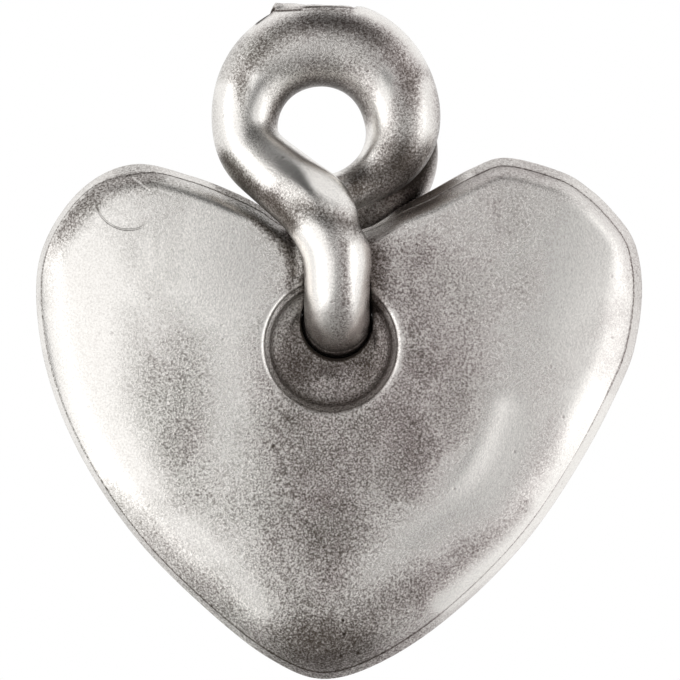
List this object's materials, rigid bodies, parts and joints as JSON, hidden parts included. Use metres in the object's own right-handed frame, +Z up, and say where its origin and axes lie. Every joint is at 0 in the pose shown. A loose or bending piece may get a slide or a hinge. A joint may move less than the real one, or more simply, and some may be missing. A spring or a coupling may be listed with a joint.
{
  "type": "heart pendant",
  "caption": "Solid cast heart hanging on a thick twisted bail that passes through a dished hole in the heart and closes into an eye for a cord.",
  "frame": {"origin": "centre of the eye that the cord or jump ring goes through", "axes": "+Z up as the pendant is worn, -Y towards the viewer, +X to the viewer's right; the cord runs through the eye along Y"},
  "size_m": [0.0334, 0.0111, 0.0372],
  "materials": {
    "antique_silver_bail": "antique silver plate over cast zinc alloy, rubbed bright on the high parts",
    "antique_silver_heart": "antique silver plate over cast zinc alloy, darker in the dish and speckled"
  },
  "bodies": {
    "bail": {"bail": "antique_silver_bail"},
    "heart": {"heart_body": "antique_silver_heart"}
  },
  "joints": [
    {"name": "heart_swing", "type": "hinge", "parent": "bail", "child": "heart", "pos_m": [0.0009, 0, -0.0071], "axis": [1, 0, 0], "range_deg": [-15, 15]}
  ]
}
